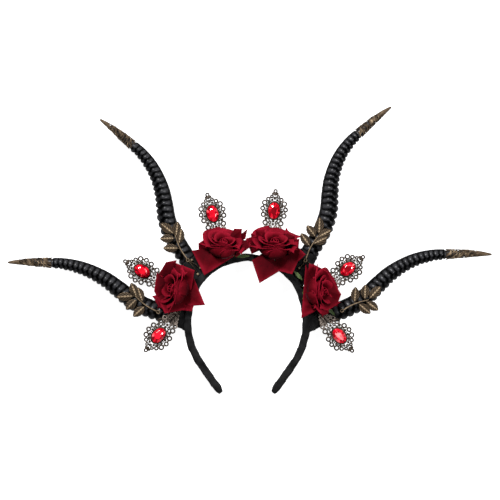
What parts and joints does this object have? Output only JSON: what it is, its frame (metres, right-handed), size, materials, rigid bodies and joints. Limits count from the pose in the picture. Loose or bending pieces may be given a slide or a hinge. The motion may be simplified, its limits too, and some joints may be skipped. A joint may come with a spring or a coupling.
{
  "type": "horned rose headband",
  "caption": "Cloth-wound hoop headband that carries long ringed horns with lacy caps, cloth roses, leaf sprigs and pierced ornaments with oval stones.",
  "frame": {"origin": "middle of the crown on the band's flat back edge, on the surface that the headband lies on", "axes": "+X to the viewer's right, +Y up past the crown in the plane of the hoop, +Z from the back edge toward the viewer"},
  "size_m": [0.5313, 0.3149, 0.0608],
  "materials": {
    "band_cloth": "matt black cloth, wound on",
    "horn": "satin charcoal moulding",
    "brass": "antique brass",
    "filigree": "dark antique bronze",
    "stone": "clear red cut resin over foil",
    "velvet": "crimson velvet",
    "calyx": "matt green"
  },
  "bodies": {
    "root": {"band": "band_cloth", "horn_upper_left": "horn", "neck_upper_left": "band_cloth", "tip_cap_upper_left": "brass", "horn_upper_right": "horn", "neck_upper_right": "band_cloth", "tip_cap_upper_right": "brass", "horn_lower_left": "horn", "neck_lower_left": "band_cloth", "tip_cap_lower_left": "brass", "horn_lower_right": "horn", "neck_lower_right": "band_cloth", "tip_cap_lower_right": "brass", "leaf_sprig_upper_left": "brass", "leaf_sprig_upper_right": "brass", "leaf_sprig_lower_left": "brass", "leaf_sprig_lower_right": "brass", "stone_upper_left": "stone", "filigree_upper_left": "filigree", "stone_upper_right": "stone", "filigree_upper_right": "filigree", "stone_side_left": "stone", "filigree_side_left": "filigree", "stone_side_right": "stone", "filigree_side_right": "filigree", "stone_lower_left": "stone", "filigree_lower_left": "filigree", "stone_lower_right": "stone", "filigree_lower_right": "filigree", "rose_upper_left_calyx": "calyx", "rose_upper_left_outer_petals": "velvet", "rose_upper_left_full_petals": "velvet", "rose_upper_left_middle_petals": "velvet", "rose_upper_left_inner_petals": "velvet", "rose_upper_left_heart": "velvet", "rose_upper_right_calyx": "calyx", "rose_upper_right_outer_petals": "velvet", "rose_upper_right_full_petals": "velvet", "rose_upper_right_middle_petals": "velvet", "rose_upper_right_inner_petals": "velvet", "rose_upper_right_heart": "velvet", "rose_side_left_calyx": "calyx", "rose_side_left_outer_petals": "velvet", "rose_side_left_full_petals": "velvet", "rose_side_left_middle_petals": "velvet", "rose_side_left_inner_petals": "velvet", "rose_side_left_heart": "velvet", "rose_side_right_calyx": "calyx", "rose_side_right_outer_petals": "velvet", "rose_side_right_full_petals": "velvet", "rose_side_right_middle_petals": "velvet", "rose_side_right_inner_petals": "velvet", "rose_side_right_heart": "velvet"}
  },
  "joints": []
}
